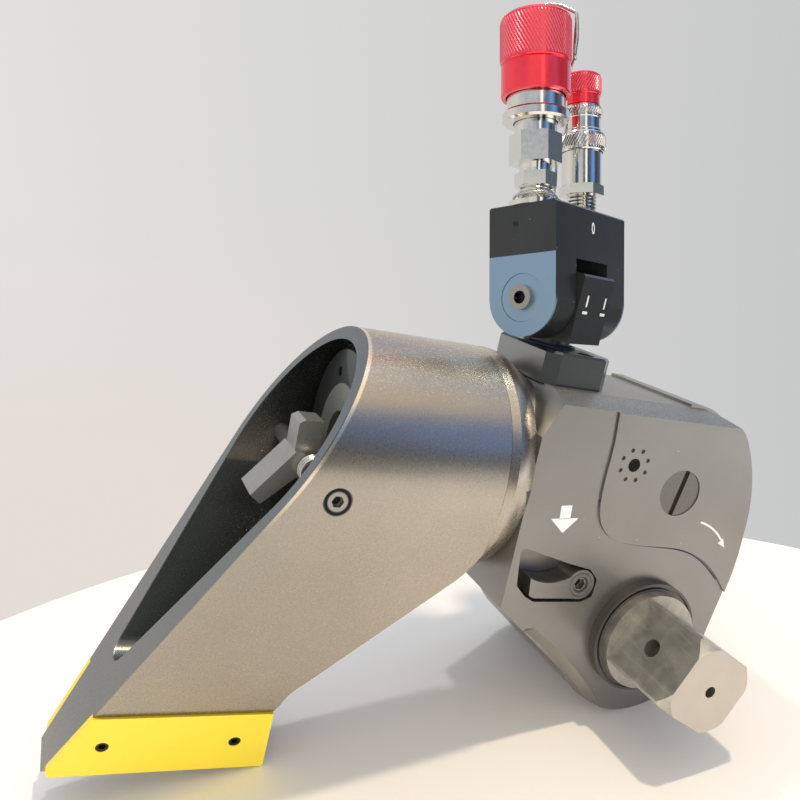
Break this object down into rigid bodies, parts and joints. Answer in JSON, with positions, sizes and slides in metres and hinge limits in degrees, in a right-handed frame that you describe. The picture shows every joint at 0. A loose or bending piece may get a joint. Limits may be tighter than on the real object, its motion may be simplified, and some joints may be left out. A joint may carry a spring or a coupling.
{
  "type": "hydraulic torque wrench",
  "caption": "Square-drive hydraulic torque wrench with splined reaction arm, tilting hose swivel, capped quick couplings and a ratchet inside.",
  "frame": {"origin": "bottom centre of the bounding box, on the surface that the foot's inner edge and the round nose stand on", "axes": "+X from the reaction foot toward the head, square drive toward -Y, hose couplings up toward +Z"},
  "size_m": [0.2426, 0.1126, 0.2391],
  "materials": {
    "head_alloy": "satin, hard anodised dark grey",
    "arm_alloy": "matte blasted dark grey",
    "dark_steel": "phosphated, matte",
    "bright_steel": "satin",
    "plated": "bright nickel plate",
    "yellow_paint": "gloss powder coat",
    "red_anodised": "red anodised, knurled",
    "black_anodised": "black anodised",
    "black_screw": "black oxide",
    "seal_rubber": "smooth",
    "bronze": "turned"
  },
  "bodies": {
    "body": {"housing": "head_alloy", "shroud": "head_alloy", "shroud_screws": "black_screw", "collar": "head_alloy", "drive_bushing_front": "bright_steel", "drive_bushing_rear": "bronze", "access_plug": "dark_steel", "vent_plug": "bronze", "rod_gland": "bronze", "rod_seal": "seal_rubber", "end_cap": "black_anodised", "catch_plate": "bright_steel", "swivel_base": "black_anodised", "base_screws": "black_screw", "swivel_seal": "seal_rubber"},
    "arm": {"reaction_arm": "arm_alloy", "foot_plate_front": "yellow_paint", "foot_plate_rear": "yellow_paint", "foot_screws": "black_screw", "latch_pin": "bright_steel"},
    "latch": {"latch_lever": "black_anodised", "latch_spring": "bright_steel"},
    "ram": {"piston": "bright_steel", "piston_seal": "seal_rubber", "piston_rod": "bright_steel"},
    "crank": {"crank_plate_front": "dark_steel", "crank_plate_rear": "dark_steel", "crank_pin": "bright_steel", "pawl_pin": "bright_steel"},
    "pawl": {"drive_pawl": "dark_steel"},
    "release": {"release_lever": "head_alloy", "lever_screw": "black_screw", "lever_shaft": "bright_steel", "reaction_pawl": "dark_steel"},
    "drive": {"square_drive": "dark_steel", "ratchet_wheel": "dark_steel", "retainer_cap": "black_anodised"},
    "button": {"retainer_button": "bright_steel"},
    "post": {"swivel_post": "black_anodised", "post_clip": "bright_steel"},
    "block": {"swivel_block": "black_anodised", "swivel_pin": "bright_steel", "pin_screws": "black_screw", "advance_adapter": "plated", "advance_coupler": "plated", "retract_adapter": "plated", "retract_coupler": "plated"},
    "advance_ring": {"advance_sleeve": "plated"},
    "retract_ring": {"retract_sleeve": "plated"},
    "advance_dust_cap": {"advance_cap": "red_anodised", "cap_wire": "bright_steel"},
    "retract_dust_cap": {"retract_cap": "red_anodised"}
  },
  "joints": [
    {"name": "arm_index", "type": "hinge", "parent": "body", "child": "arm", "pos_m": [-0.00856, 0.0148, 0.10233], "axis": [0.9677, 0, -0.2521], "continuous": true},
    {"name": "latch_press", "type": "hinge", "parent": "arm", "child": "latch", "pos_m": [-0.03007, 0.0148, 0.10029], "axis": [0, 1, 0], "range_deg": [-10, 0], "stiffness_Nm_per_rad": 0.1, "springref_deg": 4.58},
    {"name": "release_turn", "type": "hinge", "parent": "body", "child": "release", "pos_m": [0.05187, 0.0148, 0.05425], "axis": [0, 1, 0], "range_deg": [0, 6.5], "stiffness_Nm_per_rad": 0.2, "springref_deg": -5.73},
    {"name": "crank_swing", "type": "hinge", "parent": "body", "child": "crank", "pos_m": [0.07594, 0.0148, 0.03], "axis": [0, 1, 0], "range_deg": [0, 24]},
    {"name": "ram_stroke", "type": "slide", "parent": "body", "child": "ram", "axis": [0.9677, 0, -0.2521], "range_m": [0, 0.02037]},
    {"name": "pawl_tilt", "type": "hinge", "parent": "crank", "child": "pawl", "pos_m": [0.06876, 0.0148, 0.06262], "axis": [0, 1, 0], "range_deg": [-4, 0], "stiffness_Nm_per_rad": 0.05, "springref_deg": 5.73},
    {"name": "drive_spin", "type": "hinge", "parent": "body", "child": "drive", "pos_m": [0.07594, 0.0148, 0.03], "axis": [0, 1, 0], "continuous": true},
    {"name": "button_push", "type": "slide", "parent": "drive", "child": "button", "axis": [0, -1, 0], "range_m": [0, 0.0012], "stiffness_N_per_m": 300, "springref_m": -0.001},
    {"name": "swivel_turn", "type": "hinge", "parent": "body", "child": "post", "pos_m": [0.05846, 0.0148, 0.12756], "axis": [0.2521, 0, 0.9677], "continuous": true},
    {"name": "swivel_tilt", "type": "hinge", "parent": "post", "child": "block", "pos_m": [0.06237, 0.0148, 0.14255], "axis": [-0.863, -0.4524, 0.2248], "range_deg": [-105.4, 74.6]},
    {"name": "advance_ring_pull", "type": "slide", "parent": "block", "child": "advance_ring", "axis": [-0.1268, -0.2368, -0.9632], "range_m": [0, 0.003], "stiffness_N_per_m": 200, "springref_m": -0.002},
    {"name": "retract_ring_pull", "type": "slide", "parent": "block", "child": "retract_ring", "axis": [-0.1268, -0.2368, -0.9632], "range_m": [0, 0.003], "stiffness_N_per_m": 200, "springref_m": -0.002},
    {"name": "advance_cap_off", "type": "slide", "parent": "block", "child": "advance_dust_cap", "axis": [0.1268, 0.2368, 0.9632], "range_m": [0, 0.028]},
    {"name": "retract_cap_off", "type": "slide", "parent": "block", "child": "retract_dust_cap", "axis": [0.1268, 0.2368, 0.9632], "range_m": [0, 0.014]}
  ],
  "couplings": [
    {"joint": "ram_stroke", "follows": "crank_swing", "m_per_rad": 0.048146}
  ]
}
